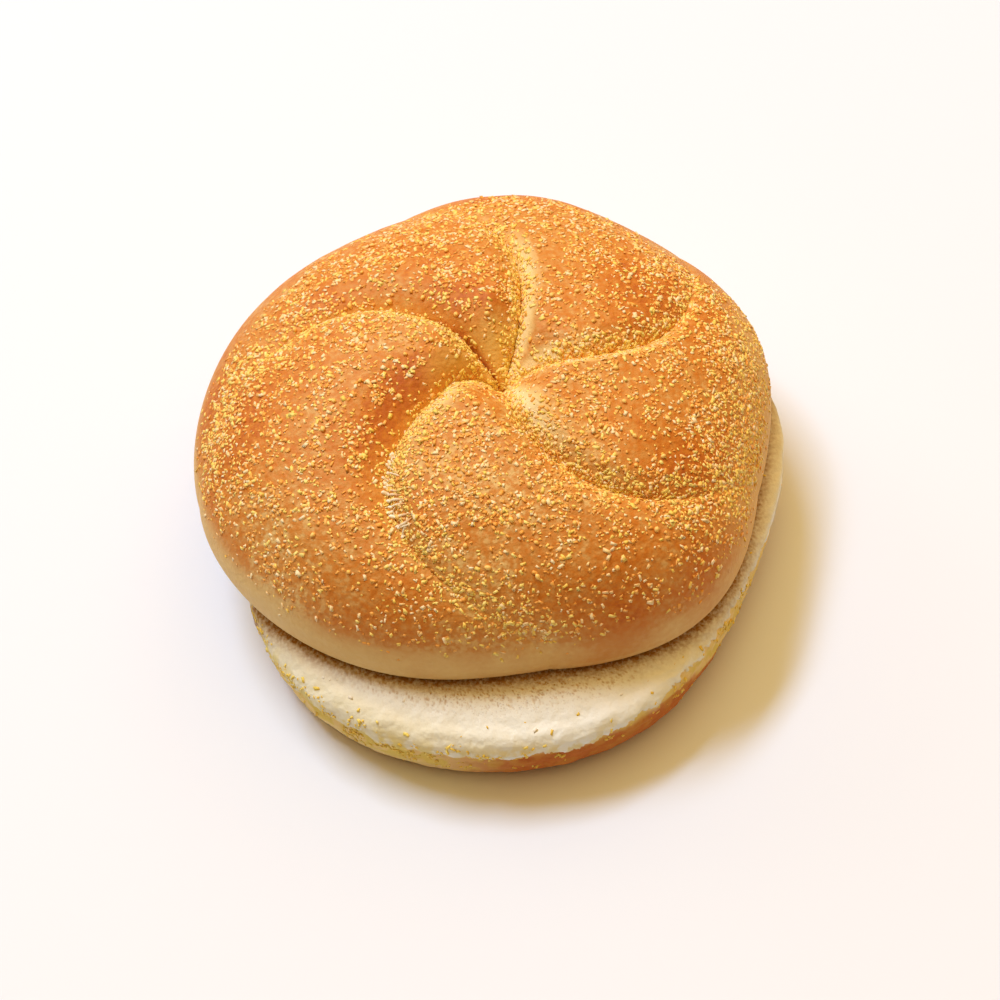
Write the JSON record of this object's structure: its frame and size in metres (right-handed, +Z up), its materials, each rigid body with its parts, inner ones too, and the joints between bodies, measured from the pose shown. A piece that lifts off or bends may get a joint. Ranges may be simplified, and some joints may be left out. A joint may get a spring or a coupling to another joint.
{
  "type": "hamburger bun",
  "caption": "Sliced round bread bun with a swirled, cornmeal-dusted domed top resting off-centre on its flat cut bottom half.",
  "frame": {"origin": "middle of the bun's outline in plan, at the height of the table that the heel rests on", "axes": "+Z up from the base to the crown; -Y towards the side where the cut face of the heel shows; +X to the right when looking along +Y"},
  "size_m": [0.1166, 0.1214, 0.0497],
  "materials": {
    "crust": "matt baked crust, orange-brown, dusted with yellow and cream cornmeal",
    "crumb": "matt cream crumb with fine pores, pale tan crust round its side"
  },
  "bodies": {
    "root": {"crown": "crust", "heel": "crumb"}
  },
  "joints": []
}
